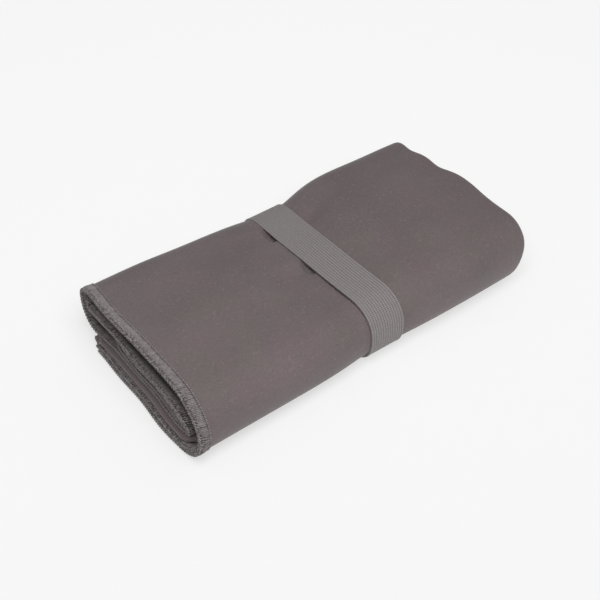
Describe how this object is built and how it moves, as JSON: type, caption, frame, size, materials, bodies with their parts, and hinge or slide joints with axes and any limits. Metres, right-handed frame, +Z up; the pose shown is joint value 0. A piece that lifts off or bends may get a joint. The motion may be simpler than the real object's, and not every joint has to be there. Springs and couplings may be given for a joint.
{
  "type": "quick dry towel",
  "caption": "Thin suede-finish towel folded into a flat bundle, with overlocked hems at one end and a wide ribbed elastic band round it.",
  "frame": {"origin": "centre of the bundle's footprint, on the surface that it rests on", "axes": "+X along the bundle from the hemmed end to the folded end, +Y to the back edge where the free edge of the cloth lies, +Z up"},
  "size_m": [0.2, 0.114, 0.036],
  "materials": {
    "microfibre": "matte",
    "hem_thread": "matte",
    "elastic": "matte"
  },
  "bodies": {
    "towel": {"towel_cloth": "microfibre", "short_side_hem_outer": "hem_thread", "short_side_hem_inner": "hem_thread", "long_side_hem_outer": "hem_thread", "long_side_hem_inner": "hem_thread"},
    "band": {"elastic_band": "elastic", "join_stitch_1": "hem_thread", "join_stitch_2": "hem_thread"}
  },
  "joints": [
    {"name": "band_slide", "type": "slide", "parent": "towel", "child": "band", "axis": [1, 0, 0], "range_m": [0, 0.105]}
  ]
}
